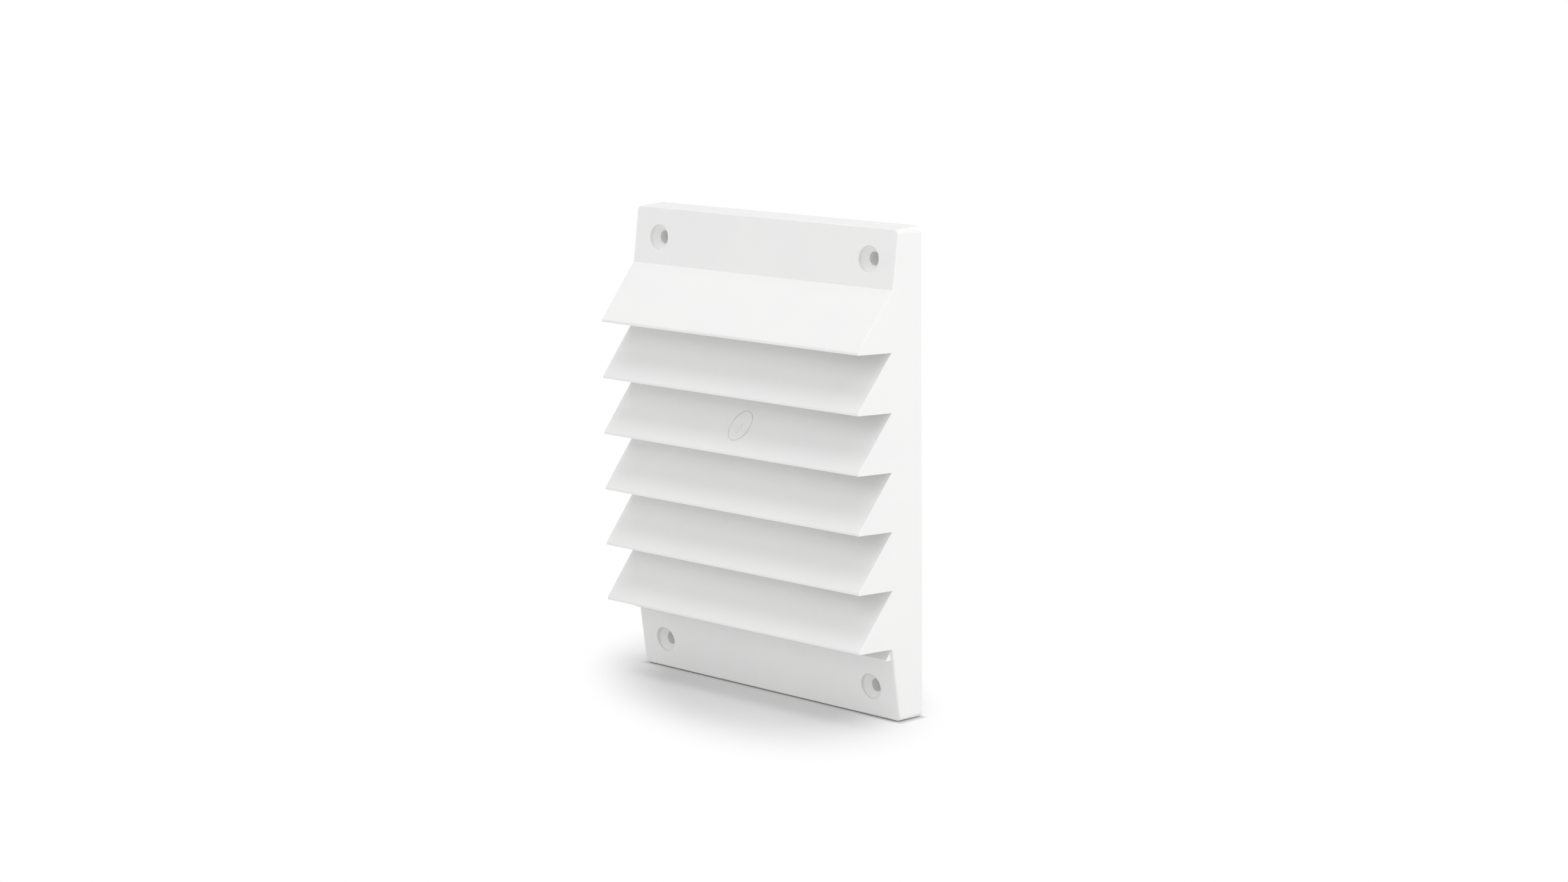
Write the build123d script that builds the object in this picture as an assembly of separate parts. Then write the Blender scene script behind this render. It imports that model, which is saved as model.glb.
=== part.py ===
"""Louvred wall vent, moulded in one piece from white plastic.

Frame: X across, Y into the wall, Z up. The wall face is the plane y = 0 and the
louvres point towards -Y. The origin is the middle of the four fixing screws, on
the wall face. Depths are counted from the wall face towards the front.
"""
import os
from math import cos, radians, sqrt, tan

from build123d import *

# Outline at the wall face
WIDTH = 128.0
HEAD = 21.3            # top edge down to the line of the first blade's upper edge
FOOT = 26.7            # bottom edge up to the last air slot
CORNER_R = 2.2         # four corners of the outline
INNER_R = 2.0          # four corners of the hollow
DRAFT = 2.2            # degrees, all four outer walls lean in towards the front
WALL = 2.0             # side, top and bottom walls, and the cheeks of the hoods

# Front skin
EDGE_DEPTH = 11.0      # depth of the vent along its top and bottom edges
STRIP_TILT = 8.0       # degrees, fixing strips rise towards the louvres
SKIN = 2.0             # thickness of strips and blades
HEAD_ROUND = 0.5       # rounding round the upper strip
FOOT_ROUND = 0.8       # rounding round the lower strip
CHEEK_ROUND = 0.25     # rounding of the cheeks of the hoods

# Louvres
BLADES = 6
PITCH = 20.5
ROOT_DEPTH = 14.4      # depth of each blade's upper edge
TIP_DEPTH = 30.5       # depth of each blade's lip
LIP_LAND = 0.9         # height of the upright edge of a lip
LIP_ROUND = 1.0        # between a blade and the upright edge of its lip
RETURN_RISE = 0.9      # a slot rises this much from root to lip, for mould release

# Drip lip under the last slot
DRIP_DROP = 1.0        # below the slot
DRIP_REACH = 2.2       # in front of the strip
DRIP_LAND = 0.5
DRIP_INSET = 0.9       # from the outer sides

# Fixing screws
SCREWS_X = 102.6       # spacing across
HEAD_SCREW = 11.2      # screw axis below the top edge
FOOT_SCREW = 11.2      # screw axis above the bottom edge
SCREW_D = 4.8
SINK_D = 9.2           # recess for the screw head
SINK_LAND = 1.4        # straight wall of the recess, in front of its cone
SINK_ANGLE = 100.0     # degrees
SINK_ROUND = 0.2       # rounding of the rim
BOSS_D = 12.4

# Round witness of the mould's gate insert
GATE_BLADE = 3
GATE_D = 9.6
GATE_GROOVE = 0.4      # width of the groove round it
GATE_SINK = 0.3        # depth of the groove
GATE_DROP = 1.0        # below the middle of the blade
NUB_D = 1.3            # what is left of the gate, in the middle
PIP_D = 0.8            # pin mark below it
PIP_DROP = 1.9
NUB_PROUD = 0.4        # height of both above the blade

HEIGHT = HEAD + BLADES * PITCH + FOOT
SCREWS_Z = HEIGHT - HEAD_SCREW - FOOT_SCREW
BOTTOM = -(SCREWS_Z / 2 + FOOT_SCREW)
TOP = BOTTOM + HEIGHT
LEAN = tan(radians(DRAFT))
STRIP_SLOPE = tan(radians(STRIP_TILT))
REACH = TIP_DEPTH - ROOT_DEPTH
BLADE_SLOPE = REACH / (PITCH - RETURN_RISE - LIP_LAND)
STRIP_RUN = SKIN / cos(radians(STRIP_TILT))
BLADE_RUN = SKIN * sqrt(1 + BLADE_SLOPE**2)
PAST = 5.0             # cutting solids run this far past what they cut


def root_z(slot):
    """Height of a slot's inner end. Slot 0 is the upper edge of the first blade."""
    return TOP - HEAD - slot * PITCH


def tip_z(slot):
    """Height of the lip above a slot."""
    return root_z(slot) + RETURN_RISE


def head_depth(z):
    """Front face of the upper strip."""
    return EDGE_DEPTH + STRIP_SLOPE * (TOP - EDGE_DEPTH * LEAN - z)


def foot_depth(z):
    """Front face of the lower strip."""
    return EDGE_DEPTH + STRIP_SLOPE * (z - BOTTOM - EDGE_DEPTH * LEAN)


def blade_depth(blade, z):
    """Front face of a blade. Blade 1 is at the top."""
    return ROOT_DEPTH + BLADE_SLOPE * (root_z(blade - 1) - z)


def fold(strip_run, blade_run):
    """Where the upper strip turns into the first blade, set back from both fronts."""
    step = head_depth(root_z(0)) - strip_run - ROOT_DEPTH + blade_run
    z = root_z(0) - step / (BLADE_SLOPE - STRIP_SLOPE)
    return (head_depth(z) - strip_run, z)


def on_slot(slot, depth, slope):
    """Where a face, at a depth beside the slot's root and leaning back by a slope,
    crosses the sloping plane of the slot."""
    rate = RETURN_RISE / REACH
    rise = rate * (depth - ROOT_DEPTH) / (1 + rate * slope)
    return (depth - slope * rise, root_z(slot) + rise)


def foot_edge(run):
    """Upper edge of the lower strip, set back from its front."""
    return on_slot(BLADES, foot_depth(root_z(BLADES)) - run, -STRIP_SLOPE)


def outer_outline():
    """Side view of the outside."""
    points = [(0, BOTTOM), (0, TOP), (EDGE_DEPTH, TOP - EDGE_DEPTH * LEAN), fold(0, 0)]
    for blade in range(1, BLADES + 1):
        points.append((TIP_DEPTH, tip_z(blade) + LIP_LAND))
        points.append((TIP_DEPTH, tip_z(blade)))
        points.append((ROOT_DEPTH, root_z(blade)) if blade < BLADES else foot_edge(0))
    points.append((EDGE_DEPTH, BOTTOM + EDGE_DEPTH * LEAN))
    return points


def hollow_outline():
    """Side view of the hollow, open to the wall and, through each slot, to the front."""
    below = LIP_LAND / 2
    points = [(-PAST, BOTTOM), (-PAST, TOP), (head_depth(TOP) - STRIP_RUN, TOP)]
    points.append(fold(STRIP_RUN, BLADE_RUN))
    for blade in range(1, BLADES + 1):
        back = blade_depth(blade, root_z(blade)) - BLADE_RUN
        depth, z = on_slot(blade, back, BLADE_SLOPE)
        points.append((depth + BLADE_SLOPE * below, z - below))
        front = (ROOT_DEPTH, root_z(blade)) if blade < BLADES else foot_edge(0)
        points.append((front[0] + (1 + BLADE_SLOPE) * below, front[1] - below))
        points.append(front)
        if blade < BLADES:
            points.append(on_slot(blade, ROOT_DEPTH - BLADE_RUN, BLADE_SLOPE))
    points.append(foot_edge(STRIP_RUN))
    points.append((foot_depth(BOTTOM) - STRIP_RUN, BOTTOM))
    return points


def prism(points, length, corners=(), radius=0.0):
    """Side view drawn across the vent, with some of its corners rounded."""
    face = make_face(Polyline(*points, close=True))
    if corners:
        face = fillet([face.vertices().sort_by_distance((*corner, 0))[0] for corner in corners], radius)
    side = Plane(origin=(0, 0, 0), x_dir=(0, -1, 0), z_dir=(-1, 0, 0))
    return extrude(side * face, amount=length / 2, both=True)


def block(inset, radius, behind):
    """Drafted block with rounded corners, from behind the wall face to past the lips."""
    grow = 2 * (behind * LEAN - inset)
    start = Plane(origin=(0, behind, (TOP + BOTTOM) / 2), x_dir=(1, 0, 0), z_dir=(0, -1, 0))
    outline = start * RectangleRounded(WIDTH + grow, HEIGHT + grow, radius)
    return extrude(outline, amount=behind + TIP_DEPTH + PAST, taper=DRAFT)


def bar(diameter, start, end):
    """Round bar between two depths."""
    solid = Cylinder(diameter / 2, end - start, align=(Align.CENTER, Align.CENTER, Align.MIN))
    return Pos(0, -start, 0) * Rot(90, 0, 0) * solid


def screw_hole(face_depth):
    """Clearance hole, cone and straight recess for a countersunk screw."""
    seat = face_depth - SINK_LAND
    taper = (SINK_D - SCREW_D) / 2 / tan(radians(SINK_ANGLE / 2))
    cone = Cone(SCREW_D / 2, SINK_D / 2, taper, align=(Align.CENTER, Align.CENTER, Align.MIN))
    cone = Pos(0, taper - seat, 0) * Rot(90, 0, 0) * cone
    return bar(SCREW_D, -PAST, seat) + cone + bar(SINK_D, seat, face_depth + PAST)


def rim(body, x, z, depth):
    """Edge of a screw's recess in the front face."""
    front = (x, -depth, z)
    return body.edges().filter_by(GeomType.ELLIPSE).sort_by_distance(front)[0]


def on_blade(blade, sunk, proud):
    """Plate along the face of a blade, from a depth inside its skin to a height above it."""
    stretch = sqrt(1 + BLADE_SLOPE**2)
    high = root_z(blade - 1)
    low = tip_z(blade) + LIP_LAND
    front = proud * stretch
    back = -sunk * stretch
    return prism([(blade_depth(blade, high) + front, high), (blade_depth(blade, low) + front, low),
                  (blade_depth(blade, low) + back, low), (blade_depth(blade, high) + back, high)],
                 WIDTH / 2)


def drip_lip():
    """Small lip under the last slot, its face in line with the blades."""
    top = root_z(BLADES) - DRIP_DROP
    edge = top - DRIP_REACH / BLADE_SLOPE
    low = edge - DRIP_LAND
    tip = foot_depth(top) + DRIP_REACH
    back = SKIN / 2
    length = WIDTH - 2 * (tip * LEAN + DRIP_INSET)
    return prism([(foot_depth(top) - back, top), (foot_depth(top), top), (tip, edge), (tip, low),
                  (foot_depth(low) - back, low)], length)


def gate_middle():
    """Height of the gate mark."""
    return (root_z(GATE_BLADE - 1) + tip_z(GATE_BLADE) + LIP_LAND) / 2 - GATE_DROP


def gate_groove():
    """Fine groove round the gate insert."""
    reach = TIP_DEPTH + PAST
    ring = bar(GATE_D, 0, reach) - bar(GATE_D - 2 * GATE_GROOVE, 0, reach)
    return (Pos(0, 0, gate_middle()) * ring) & on_blade(GATE_BLADE, GATE_SINK, PAST)


def gate_nubs():
    """What is left of the gate, and a pin mark below it, standing on a blade."""
    reach = TIP_DEPTH + PAST
    nub = Pos(0, 0, gate_middle()) * bar(NUB_D, 0, reach)
    pip = Pos(0, 0, gate_middle() - PIP_DROP) * bar(PIP_D, 0, reach)
    return (nub + pip) & on_blade(GATE_BLADE, SKIN / 2, NUB_PROUD)


def is_cheek(edge):
    """Front edge of a side wall beside a blade: it climbs, and lies in front of the wall face."""
    way = edge.position_at(1) - edge.position_at(0)
    beside = root_z(BLADES) < edge.center().Z < fold(0, 0)[1]
    return beside and edge.center().Y < -EDGE_DEPTH / 2 and abs(way.Z) > way.length / 2


def head_edges(solid):
    """Edges of the upper strip, apart from the fold between strip and blade."""
    head = solid.faces().sort_by_distance((0, -head_depth(SCREWS_Z / 2), SCREWS_Z / 2))[0]
    return head.edges().sort_by(Axis.Z)[1:]


def foot_edges(solid):
    """Edges of the lower strip, apart from the one under the last slot."""
    foot = solid.faces().sort_by_distance((0, -foot_depth(-SCREWS_Z / 2), -SCREWS_Z / 2))[0]
    return foot.edges().sort_by(Axis.Z)[:-1]


def cheek_edges(solid):
    """Front edges of both side walls beside the blades."""
    walls = solid.faces().sort_by(Axis.X)
    return walls[0].edges().filter_by(is_cheek) + walls[-1].edges().filter_by(is_cheek)


def shell():
    """Outside with its rounded edges, and the hollow behind it."""
    lips = [(TIP_DEPTH, tip_z(blade) + LIP_LAND) for blade in range(1, BLADES + 1)]
    outside = prism(outer_outline(), WIDTH, lips, LIP_ROUND) & block(0, CORNER_R, 0)
    outside = fillet(head_edges(outside), HEAD_ROUND)
    outside = fillet(cheek_edges(outside), CHEEK_ROUND)
    outside = fillet(foot_edges(outside), FOOT_ROUND)
    hollow = prism(hollow_outline(), WIDTH) & block(WALL, INNER_R, PAST)
    return outside, hollow


def louvre_vent():
    outside, hollow = shell()
    body = outside - hollow
    spots = []
    for x in (-SCREWS_X / 2, SCREWS_X / 2):
        spots.append((x, SCREWS_Z / 2, head_depth(SCREWS_Z / 2)))
        spots.append((x, -SCREWS_Z / 2, foot_depth(-SCREWS_Z / 2)))
    for x, z, depth in spots:
        body += (Pos(x, 0, z) * bar(BOSS_D, 0, depth + BOSS_D)) & outside
    body += drip_lip()
    body -= gate_groove()
    body += gate_nubs()
    for x, z, depth in spots:
        body -= Pos(x, 0, z) * screw_hole(depth)
    return fillet([rim(body, *spot) for spot in spots], SINK_ROUND)


os.makedirs("parts", exist_ok=True)
vent = louvre_vent()
export_step(vent, "parts/louvre_vent.step")
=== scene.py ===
import math

import bpy
from mathutils import Matrix, Vector


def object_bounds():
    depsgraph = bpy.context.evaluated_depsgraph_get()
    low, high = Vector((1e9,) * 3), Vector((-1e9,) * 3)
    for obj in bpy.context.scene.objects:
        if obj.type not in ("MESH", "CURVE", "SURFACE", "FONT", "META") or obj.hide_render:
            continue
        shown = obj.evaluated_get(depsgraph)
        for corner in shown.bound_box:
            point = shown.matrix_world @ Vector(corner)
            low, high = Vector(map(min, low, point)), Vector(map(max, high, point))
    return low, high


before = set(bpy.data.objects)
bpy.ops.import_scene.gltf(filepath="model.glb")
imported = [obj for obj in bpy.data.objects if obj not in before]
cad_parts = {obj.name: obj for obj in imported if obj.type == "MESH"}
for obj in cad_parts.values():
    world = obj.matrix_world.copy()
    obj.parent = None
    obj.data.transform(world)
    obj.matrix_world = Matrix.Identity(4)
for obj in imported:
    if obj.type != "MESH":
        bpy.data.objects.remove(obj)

CAD_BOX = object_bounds()

bl_info = {
    "name": "Louvred wall vent",
    "version": (1, 0, 0),
    "blender": (4, 5, 0),
    "location": "3D View > Sidebar > Vent",
    "description": "Finishes a moulded louvred wall vent and sets it on a pale studio floor",
    "category": "Object",
}

MM = 0.001
WHITE = (1.0, 1.0, 1.0, 1.0)
# Strength at which a white glow renders as plain white.
WHITE_STRENGTH = 1.0

# Depth of the vent at its foot, where it stands on the floor.
FOOT_DEPTH = 11 * MM

# Refractive index of ABS.
ABS_IOR = 1.52
# Detail and harshness of the two noises: soft clouds in the white, and a crisper grain.
CLOUD_DETAIL = 3.0
CLOUD_HARSHNESS = 0.5
GRAIN_DETAIL = 2.0
GRAIN_HARSHNESS = 0.6
# Values of the cloud noise at which the plastic is glossiest and dullest.
CLOUD_LOW = 0.3
CLOUD_HIGH = 0.7
# How far the roughness goes to either side of its middle value.
GLOSS_SPREAD = 0.05
# Share of the grain's height that the bump shows.
GRAIN_STRENGTH = 0.5

# Width of the camera's sensor in millimetres, and its nearest and farthest sight in metres.
SENSOR_WIDTH = 36.0
CLIP_NEAR = 0.01
CLIP_FAR = 100.0

# Lamps: name, azimuth and elevation in degrees, distance, width and height in metres, power in watts.
LAMPS = (
    ("side_softbox", 110.0, 12.0, 1.5, 1.6, 0.75, 10.2),
    ("high_softbox", 85.0, 64.0, 1.5, 1.4, 1.4, 5.5),
    ("front_softbox", 0.0, 38.0, 1.5, 0.8, 0.8, 3.7),
    ("overhead_softbox", 0.0, 88.0, 1.5, 0.8, 0.8, 4.6),
    ("left_softbox", -35.0, 12.0, 1.5, 0.8, 0.8, 2.4),
    ("right_softbox", 30.0, 12.0, 1.5, 0.8, 0.8, 3.2),
    ("far_softbox", -70.0, 64.0, 1.5, 0.8, 0.8, 2.6),
)


def linear(hex_colour):
    """Turns an sRGB hex colour into the linear values that Blender's sockets take."""
    digits = hex_colour.lstrip("#")
    parts = [int(digits[i:i + 2], 16) / 255 for i in (0, 2, 4)]
    return [p / 12.92 if p <= 0.04045 else ((p + 0.055) / 1.055) ** 2.4 for p in parts] + [1.0]


def add_node(tree, kind, settings=None, values=None, links=None):
    """Adds a node to the tree, with its settings, its socket values and the links into it."""
    made = tree.nodes.new(kind)
    for name, setting in (settings or {}).items():
        setattr(made, name, setting)
    for name, value in (values or {}).items():
        made.inputs[name].default_value = value
    for name, source in (links or {}).items():
        tree.links.new(source, made.inputs[name])
    return made


def new_material(name):
    """Makes an empty node material and returns it with its node tree."""
    material = bpy.data.materials.new(name)
    material.use_nodes = True
    material.node_tree.nodes.clear()
    return material, material.node_tree


def direction(azimuth, elevation):
    """Unit vector from the vent towards a place round it; azimuth 0 is straight ahead of the louvres."""
    flat = math.cos(elevation)
    return Vector((math.sin(azimuth) * flat, -math.cos(azimuth) * flat, math.sin(elevation)))


class VentFinish(bpy.types.PropertyGroup):
    """Colours and surface sizes of the moulding."""

    colour: bpy.props.FloatVectorProperty(
        name="Plastic colour", description="White of the moulded plastic",
        subtype="COLOR", size=4, min=0.0, max=1.0, default=linear("#F3F3F2"))
    flow_colour: bpy.props.FloatVectorProperty(
        name="Flow colour", description="Slightly duller white where the melt cooled sooner",
        subtype="COLOR", size=4, min=0.0, max=1.0, default=linear("#EFEFEF"))
    flow_size: bpy.props.FloatProperty(
        name="Flow size", description="Width of the cloudy patches in the white",
        unit="LENGTH", min=MM, default=26 * MM)
    grain_size: bpy.props.FloatProperty(
        name="Grain size", description="Width of the fine grain that the mould leaves",
        unit="LENGTH", min=0.1 * MM, default=0.7 * MM)
    grain_depth: bpy.props.FloatProperty(
        name="Grain depth", description="Height of the fine grain",
        unit="LENGTH", min=0.0, default=0.012 * MM)
    roughness: bpy.props.FloatProperty(
        name="Roughness", description="Middle roughness of the satin surface",
        subtype="FACTOR", min=0.0, max=1.0, default=0.44)


class VentStage(bpy.types.PropertyGroup):
    """Floor, light and camera of the studio."""

    floor_colour: bpy.props.FloatVectorProperty(
        name="Floor colour", description="Pale tone of the studio floor",
        subtype="COLOR", size=4, min=0.0, max=1.0, default=linear("#E8E8E8"))
    shade_centre: bpy.props.FloatVectorProperty(
        name="Shade centre", description="Middle of the oval of floor that keeps its own shade",
        subtype="TRANSLATION", unit="LENGTH", size=2, default=(-8.5 * MM, -8 * MM))
    shade_reach: bpy.props.FloatVectorProperty(
        name="Shade reach", description="Half length and half width of the oval, white beyond it",
        unit="LENGTH", size=2, default=(108 * MM, 62 * MM))
    shade_turn: bpy.props.FloatProperty(
        name="Shade turn", description="Turn of the oval on the floor",
        subtype="ANGLE", default=math.radians(-27.5))
    shade_core: bpy.props.FloatProperty(
        name="Shade core", description="Share of the oval, from its middle, that has no white in it",
        subtype="FACTOR", min=0.0, max=0.99, default=0.45)
    shade_touch: bpy.props.FloatProperty(
        name="Shade touch", description="Width of the shaded line kept along the foot of the vent",
        unit="LENGTH", min=0.1 * MM, default=2 * MM)
    floor_size: bpy.props.FloatProperty(
        name="Floor size", description="Side of the square floor",
        unit="LENGTH", min=1.0, default=16.0)
    world_light: bpy.props.FloatProperty(
        name="Surrounding light", description="Strength of the even light from all round",
        min=0.0, default=0.25)
    lens: bpy.props.FloatProperty(
        name="Lens", description="Focal length in millimetres",
        min=10.0, default=72.05)
    azimuth: bpy.props.FloatProperty(
        name="Azimuth", description="Camera direction round the vent, from straight ahead",
        subtype="ANGLE", default=math.radians(44.285))
    elevation: bpy.props.FloatProperty(
        name="Elevation", description="Camera height above the horizon",
        subtype="ANGLE", default=math.radians(10.204))
    roll: bpy.props.FloatProperty(
        name="Roll", description="Camera tilt about its own view line",
        subtype="ANGLE", default=math.radians(-0.599))
    distance: bpy.props.FloatProperty(
        name="Distance", description="From the camera to the point it looks at",
        unit="LENGTH", min=0.1, default=1.10841)
    aim: bpy.props.FloatVectorProperty(
        name="Aim", description="Point that the camera looks at",
        subtype="TRANSLATION", unit="LENGTH", size=3,
        default=(4.565 * MM, -6.286 * MM, 5.615 * MM))


def satin_moulded_plastic(finish):
    """Injection-moulded ABS, pigmented white: even and opaque, with a soft satin gloss from a finely
    eroded mould and faint clouding where the melt flowed."""
    material, tree = new_material("satin_moulded_abs")
    place = add_node(tree, "ShaderNodeTexCoord").outputs["Object"]
    cloud = add_node(
        tree, "ShaderNodeTexNoise",
        values={"Scale": 1 / finish.flow_size, "Detail": CLOUD_DETAIL, "Roughness": CLOUD_HARSHNESS},
        links={"Vector": place})
    white = add_node(
        tree, "ShaderNodeMix", {"data_type": "RGBA"}, {"A": finish.colour, "B": finish.flow_colour},
        {"Factor": cloud.outputs["Fac"]})
    # A real mould leaves a grain of about 0.1 mm. That is too fine to show, so it is drawn coarser.
    grain = add_node(
        tree, "ShaderNodeTexNoise",
        values={"Scale": 1 / finish.grain_size, "Detail": GRAIN_DETAIL, "Roughness": GRAIN_HARSHNESS},
        links={"Vector": place})
    satin = add_node(
        tree, "ShaderNodeMapRange",
        values={"From Min": CLOUD_LOW, "From Max": CLOUD_HIGH,
                "To Min": finish.roughness - GLOSS_SPREAD, "To Max": finish.roughness + GLOSS_SPREAD},
        links={"Value": cloud.outputs["Fac"]})
    bump = add_node(
        tree, "ShaderNodeBump", values={"Strength": GRAIN_STRENGTH, "Distance": finish.grain_depth},
        links={"Height": grain.outputs["Fac"]})
    shader = add_node(
        tree, "ShaderNodeBsdfPrincipled", values={"IOR": ABS_IOR},
        links={"Base Color": white.outputs["Result"], "Roughness": satin.outputs["Result"],
               "Normal": bump.outputs["Normal"]})
    add_node(tree, "ShaderNodeOutputMaterial", links={"Surface": shader.outputs["BSDF"]})
    return material


def seen_or_mirrored(tree):
    """Gives 1 for what the camera sees directly, mirrored or through glass, and 0 for light on the vent."""
    path = add_node(tree, "ShaderNodeLightPath")
    mirrored = add_node(
        tree, "ShaderNodeMath", {"operation": "MAXIMUM"},
        links={0: path.outputs["Is Camera Ray"], 1: path.outputs["Is Glossy Ray"]})
    through = add_node(
        tree, "ShaderNodeMath", {"operation": "MAXIMUM"},
        links={0: mirrored.outputs[0], 1: path.outputs["Is Transmission Ray"]})
    return through.outputs[0]


def matt_pale_paper(stage):
    """Matt pale paper: it keeps the vent's shadow, and the camera sees it fade to white further out."""
    material, tree = new_material("matt_pale_paper")
    place = add_node(tree, "ShaderNodeTexCoord").outputs["Object"]
    # An oval round the foot of the vent is left as it is, and turns white towards its edge.
    oval = add_node(
        tree, "ShaderNodeMapping", {"vector_type": "TEXTURE"},
        {"Location": (*stage.shade_centre, 0.0), "Rotation": (0.0, 0.0, stage.shade_turn),
         "Scale": (*stage.shade_reach, 1.0)},
        {"Vector": place})
    reach = add_node(
        tree, "ShaderNodeVectorMath", {"operation": "LENGTH"}, links={0: oval.outputs["Vector"]})
    pool = add_node(
        tree, "ShaderNodeMapRange", {"interpolation_type": "SMOOTHSTEP"}, {"From Min": stage.shade_core},
        {"Value": reach.outputs["Value"]})
    # A narrow line along the foot is left as it is too, also where it runs out of the oval.
    high = CAD_BOX[1]
    foot = (0.0, high.y - FOOT_DEPTH / 2, 0.0)
    half = (high.x, FOOT_DEPTH / 2, 1.0)
    beside = add_node(tree, "ShaderNodeVectorMath", {"operation": "SUBTRACT"}, {1: foot}, {0: place})
    away = add_node(
        tree, "ShaderNodeVectorMath", {"operation": "ABSOLUTE"}, links={0: beside.outputs["Vector"]})
    past = add_node(
        tree, "ShaderNodeVectorMath", {"operation": "SUBTRACT"}, {1: half}, {0: away.outputs["Vector"]})
    clear = add_node(
        tree, "ShaderNodeVectorMath", {"operation": "MAXIMUM"}, {1: (0.0, 0.0, 0.0)},
        {0: past.outputs["Vector"]})
    gap = add_node(
        tree, "ShaderNodeVectorMath", {"operation": "LENGTH"}, links={0: clear.outputs["Vector"]})
    touch = add_node(
        tree, "ShaderNodeMapRange", {"interpolation_type": "SMOOTHSTEP"}, {"From Max": stage.shade_touch},
        {"Value": gap.outputs["Value"]})
    fade = add_node(
        tree, "ShaderNodeMath", {"operation": "MULTIPLY"},
        links={0: pool.outputs["Result"], 1: touch.outputs["Result"]})
    shown = add_node(
        tree, "ShaderNodeMath", {"operation": "MULTIPLY"},
        links={0: fade.outputs[0], 1: seen_or_mirrored(tree)})
    paper = add_node(tree, "ShaderNodeBsdfDiffuse", values={"Color": stage.floor_colour})
    white = add_node(tree, "ShaderNodeEmission", values={"Color": WHITE, "Strength": WHITE_STRENGTH})
    both = add_node(
        tree, "ShaderNodeMixShader",
        links={0: shown.outputs[0], 1: paper.outputs["BSDF"], 2: white.outputs["Emission"]})
    add_node(tree, "ShaderNodeOutputMaterial", links={"Surface": both.outputs["Shader"]})
    return material


def studio_surround(stage):
    """Even light from all round, white where it is seen or mirrored."""
    world = bpy.data.worlds.new("studio_surround")
    world.use_nodes = True
    tree = world.node_tree
    tree.nodes.clear()
    strength = add_node(
        tree, "ShaderNodeMapRange", values={"To Min": stage.world_light, "To Max": WHITE_STRENGTH},
        links={"Value": seen_or_mirrored(tree)})
    sky = add_node(
        tree, "ShaderNodeBackground", values={"Color": WHITE},
        links={"Strength": strength.outputs["Result"]})
    add_node(tree, "ShaderNodeOutputWorld", links={"Surface": sky.outputs["Background"]})
    return world


def add_lamps(scene, centre):
    """Stands the soft lamps round the vent, each turned to its middle."""
    for name, azimuth, elevation, distance, width, height, power in LAMPS:
        lamp = bpy.data.lights.new(name, "AREA")
        lamp.shape = "RECTANGLE"
        lamp.size = width
        lamp.size_y = height
        lamp.energy = power
        box = bpy.data.objects.new(name, lamp)
        away = direction(math.radians(azimuth), math.radians(elevation))
        box.location = centre + away * distance
        box.rotation_euler = away.to_track_quat("Z", "Y").to_euler()
        # The satin mirrors the even white surround and not the lamps, so no face flares at a flat angle.
        box.visible_glossy = False
        scene.collection.objects.link(box)


def add_camera(scene, stage):
    """Sets the camera at the photograph's angle, rolled a little about its view line."""
    camera = bpy.data.cameras.new("studio_camera")
    camera.sensor_fit = "HORIZONTAL"
    camera.sensor_width = SENSOR_WIDTH
    camera.lens = stage.lens
    camera.clip_start = CLIP_NEAR
    camera.clip_end = CLIP_FAR
    holder = bpy.data.objects.new("studio_camera", camera)
    back = direction(stage.azimuth, stage.elevation)
    right = Vector((0.0, 0.0, 1.0)).cross(back).normalized()
    up = back.cross(right)
    turned = Matrix.Rotation(stage.roll, 3, back)
    place = Matrix((turned @ right, turned @ up, back)).transposed().to_4x4()
    place.translation = Vector(stage.aim) + back * stage.distance
    holder.matrix_world = place
    scene.collection.objects.link(holder)
    scene.camera = holder


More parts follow.
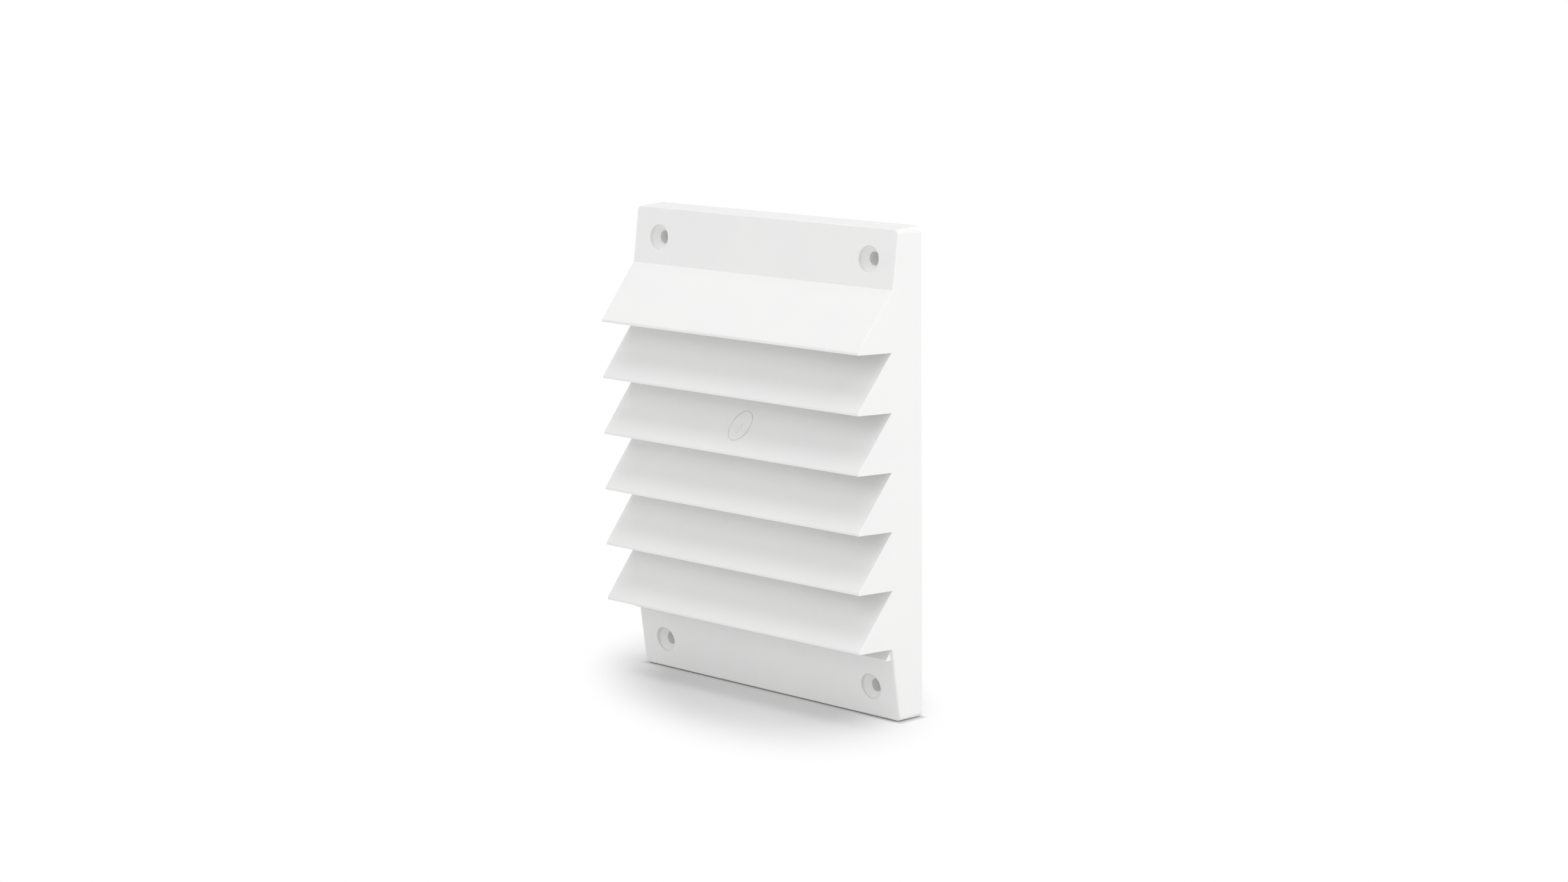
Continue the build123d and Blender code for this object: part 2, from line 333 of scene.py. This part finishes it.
class VENT_OT_moulding(bpy.types.Operator):
    """Gives the one-piece moulding its satin white plastic"""

    bl_idname = "vent.moulding"
    bl_label = "Finish the moulding"
    bl_options = {"REGISTER", "UNDO"}

    def execute(self, context):
        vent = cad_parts["louvre_vent"]
        if not vent.material_slots:
            raise RuntimeError("the moulding has no material slot")
        plastic = satin_moulded_plastic(context.scene.vent_finish)
        for slot in vent.material_slots:
            slot.material = plastic
        return {"FINISHED"}


class VENT_OT_stage(bpy.types.Operator):
    """Sets the pale floor, the even surround, the soft lamps and the camera"""

    bl_idname = "vent.stage"
    bl_label = "Set the stage"
    bl_options = {"REGISTER", "UNDO"}

    def execute(self, context):
        scene = context.scene
        stage = scene.vent_stage
        low, high = CAD_BOX

        bpy.ops.mesh.primitive_plane_add(size=stage.floor_size, location=(0.0, 0.0, low.z))
        floor = context.object
        floor.name = "studio_floor"
        floor.data.materials.append(matt_pale_paper(stage))

        scene.world = studio_surround(stage)
        add_lamps(scene, (low + high) / 2)
        add_camera(scene, stage)
        scene.view_settings.view_transform = "Standard"
        return {"FINISHED"}


class VENT_PT_panel(bpy.types.Panel):
    """Lists the steps that finish the vent"""

    bl_idname = "VENT_PT_panel"
    bl_label = "Wall vent"
    bl_space_type = "VIEW_3D"
    bl_region_type = "UI"
    bl_category = "Vent"

    def draw(self, context):
        for group, step in (("vent_finish", "vent.moulding"), ("vent_stage", "vent.stage")):
            values = getattr(context.scene, group)
            column = self.layout.box().column()
            for name in type(values).__annotations__:
                column.prop(values, name)
            column.operator(step)


CLASSES = (VentFinish, VentStage, VENT_OT_moulding, VENT_OT_stage, VENT_PT_panel)


def register():
    """Registers the classes and hangs the property groups on the scene."""
    for cls in CLASSES:
        bpy.utils.register_class(cls)
    bpy.types.Scene.vent_finish = bpy.props.PointerProperty(type=VentFinish)
    bpy.types.Scene.vent_stage = bpy.props.PointerProperty(type=VentStage)


def unregister():
    """Takes the property groups and classes away again."""
    del bpy.types.Scene.vent_stage
    del bpy.types.Scene.vent_finish
    for cls in reversed(CLASSES):
        bpy.utils.unregister_class(cls)


def main():
    register()
    bpy.ops.vent.moulding()
    bpy.ops.vent.stage()


if __name__ == "__main__":
    main()
